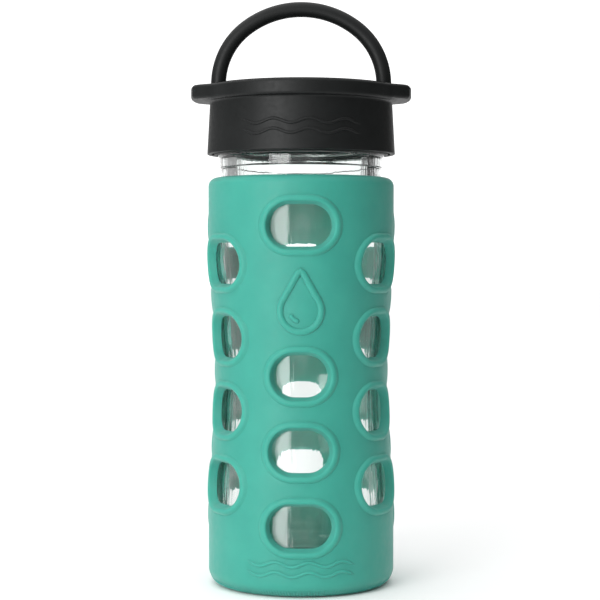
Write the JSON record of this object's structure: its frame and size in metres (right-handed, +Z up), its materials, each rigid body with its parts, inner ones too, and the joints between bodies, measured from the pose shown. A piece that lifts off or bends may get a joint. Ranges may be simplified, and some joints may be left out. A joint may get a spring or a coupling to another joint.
{
  "type": "water bottle",
  "caption": "Glass water bottle in a windowed silicone sleeve, closed by a screw cap with a gasket and a carry loop that folds flat into the cap's top.",
  "frame": {"origin": "centre of the face that the sleeve stands on", "axes": "+Z up along the bottle's axis, -Y out of the front with the emblem, +X to the right of someone looking at the front"},
  "size_m": [0.0782, 0.0684, 0.2066],
  "materials": {
    "glass": "clear soda-lime glass, faintly green in its thickness",
    "sleeve_silicone": "moulded teal silicone, satin",
    "cap_plastic": "fine satin moulded polypropylene",
    "liner_plastic": "smooth moulded polypropylene",
    "seal_silicone": "translucent white silicone",
    "loop_plastic": "fine satin moulded polypropylene",
    "pin_steel": "drawn stainless wire"
  },
  "bodies": {
    "bottle": {"glass_bottle": "glass", "silicone_sleeve": "sleeve_silicone"},
    "seal": {"seal_ring": "seal_silicone"},
    "cap": {"cap_shell": "cap_plastic", "thread_liner": "liner_plastic", "pivot_pin_left": "pin_steel", "pivot_pin_right": "pin_steel"},
    "handle": {"carry_loop": "loop_plastic"}
  },
  "joints": [
    {"name": "cap_lift", "type": "slide", "parent": "bottle", "child": "seal", "axis": [0, 0, 1], "range_m": [0, 0.01801]},
    {"name": "cap_turn", "type": "hinge", "parent": "seal", "child": "cap", "pos_m": [0, 0, 0.16], "axis": [0, 0, 1], "range_deg": [0, 1080]},
    {"name": "handle_fold", "type": "hinge", "parent": "cap", "child": "handle", "pos_m": [0, 0, 0.1744], "axis": [1, 0, 0], "range_deg": [-90, 90]}
  ],
  "couplings": [
    {"joint": "cap_lift", "follows": "cap_turn", "m_per_rad": 0.00095493}
  ]
}
